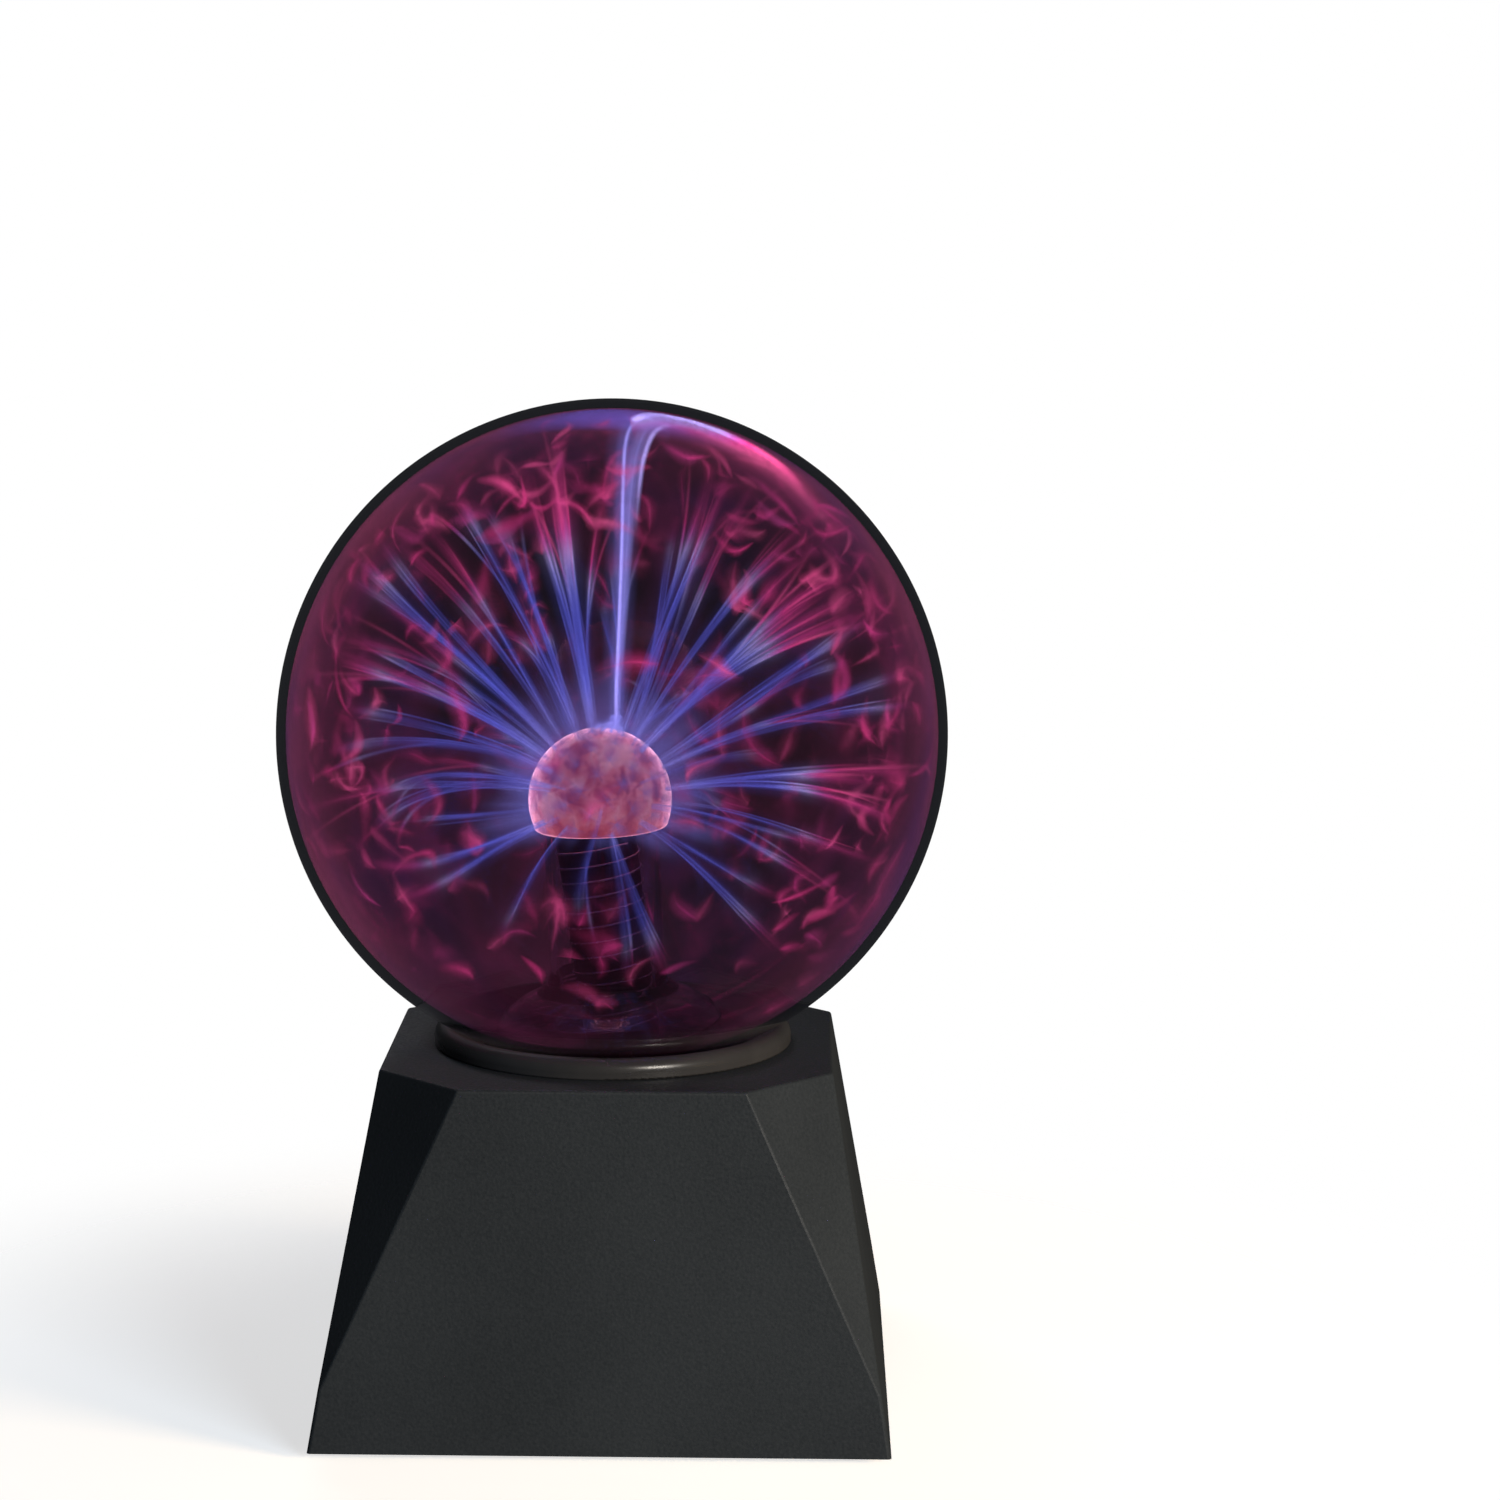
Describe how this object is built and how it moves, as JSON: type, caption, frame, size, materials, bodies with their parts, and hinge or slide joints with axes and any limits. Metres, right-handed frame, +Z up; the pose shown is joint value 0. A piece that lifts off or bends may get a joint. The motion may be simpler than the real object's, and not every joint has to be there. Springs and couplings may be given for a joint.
{
  "type": "plasma ball",
  "caption": "Round glass plasma globe with a central electrode on a faceted black plastic base that tapers to an eight-sided top, with a rear power inlet and slide switch.",
  "frame": {"origin": "centre of the footprint at the underside of the feet", "axes": "+Z up through the globe's centre, -Y towards the front face, +Y towards the power inlet and switch"},
  "size_m": [0.1524, 0.1524, 0.2269],
  "materials": {
    "globe_glass": "clear",
    "stem_glass": "clear",
    "electrode": "glowing",
    "black_sleeve": "matte",
    "bright_wire": "bright",
    "collar_plastic": "satin",
    "housing_plastic": "satin",
    "cover_plastic": "matte",
    "black_rubber": "matte",
    "zinc_steel": "plated",
    "circuit_board": "solder mask",
    "ferrite": "ground",
    "nylon": "natural",
    "potting": "potted",
    "copper_wire": "enamelled",
    "aluminium": "extruded",
    "epoxy_black": "moulded",
    "capacitor_sleeve": "shrunk sleeve",
    "film_yellow": "dipped",
    "resistor_body": "dipped",
    "jack_plastic": "moulded",
    "nickel": "plated",
    "wire_red": "insulated",
    "lead_silicone": "silicone"
  },
  "bodies": {
    "base": {"base_housing": "housing_plastic", "globe_collar": "collar_plastic", "globe_gasket": "black_rubber", "glass_globe": "globe_glass", "electrode_stem": "stem_glass", "neck_seal": "stem_glass", "electrode_dome": "electrode", "electrode_sleeve": "black_sleeve", "contact_spring": "bright_wire", "neck_retainer": "cover_plastic", "retainer_screws": "zinc_steel", "bottom_cover": "cover_plastic", "cover_screws": "zinc_steel", "rubber_feet": "black_rubber", "driver_board": "circuit_board", "board_screws": "zinc_steel", "flyback_core": "ferrite", "coil_bobbin": "nylon", "flyback_coil": "potting", "primary_winding": "copper_wire", "heat_sink": "aluminium", "power_transistor": "epoxy_black", "filter_capacitor": "capacitor_sleeve", "small_capacitors": "capacitor_sleeve", "film_capacitor": "film_yellow", "control_chip": "epoxy_black", "resistors": "resistor_body", "microphone_capsule": "aluminium", "dc_jack": "jack_plastic", "dc_jack_pin": "nickel", "switch_frame": "zinc_steel", "switch_body": "jack_plastic", "switch_terminals": "nickel", "switch_screws": "zinc_steel", "switch_wires": "wire_red", "hv_lead": "lead_silicone"},
    "slider": {"switch_slider": "jack_plastic", "switch_contact": "nickel"}
  },
  "joints": [
    {"name": "switch_slide", "type": "slide", "parent": "base", "child": "slider", "axis": [1, 0, 0], "range_m": [-0.003, 0.003]}
  ]
}
